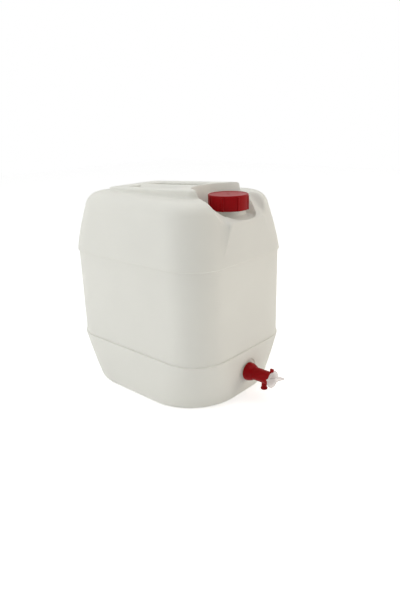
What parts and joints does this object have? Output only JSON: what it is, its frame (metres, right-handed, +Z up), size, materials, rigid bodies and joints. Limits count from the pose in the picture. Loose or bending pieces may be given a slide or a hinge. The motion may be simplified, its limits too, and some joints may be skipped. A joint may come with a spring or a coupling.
{
  "type": "carboy with spigot",
  "caption": "Stackable translucent plastic carboy with recessed grip bar, sunk screw-capped neck and a quarter-turn drain tap low on the front",
  "frame": {"origin": "centre of the standing rim's plane, at the level the carboy stands on", "axes": "+Z up, X across the width, Y along the length; the tap points along -Y and the neck stands at the -Y end"},
  "size_m": [0.266, 0.3882, 0.3689],
  "materials": {
    "natural_polyethylene": "natural milky translucent blow-moulded HDPE, satin",
    "red_polyethylene": "deep red injection-moulded polyethylene, semi-gloss",
    "liner_foam": "white expanded polyethylene sealing disc",
    "seal_rubber": "pale silicone sealing ring",
    "clear_polypropylene": "clear to milky moulded polypropylene"
  },
  "bodies": {
    "carboy": {"carboy_body": "natural_polyethylene", "tap_barrel": "red_polyethylene", "tap_gasket": "seal_rubber", "tap_washer": "seal_rubber", "tap_back_nut": "red_polyethylene"},
    "liner": {"cap_liner": "liner_foam"},
    "cap": {"screw_cap": "red_polyethylene"},
    "lever": {"tap_lever": "clear_polypropylene"}
  },
  "joints": [
    {"name": "cap_rise", "type": "slide", "parent": "carboy", "child": "liner", "axis": [0, 0, 1], "range_m": [0, 0.006]},
    {"name": "cap_turn", "type": "hinge", "parent": "liner", "child": "cap", "pos_m": [0, -0.122, 0.345], "axis": [0, 0, 1], "range_deg": [0, 540]},
    {"name": "lever_turn", "type": "hinge", "parent": "carboy", "child": "lever", "pos_m": [0, -0.2163, 0.0483], "axis": [0, 1, 0], "range_deg": [-20, 70]}
  ],
  "couplings": [
    {"joint": "cap_turn", "follows": "cap_rise", "rad_per_m": 1570.8}
  ]
}
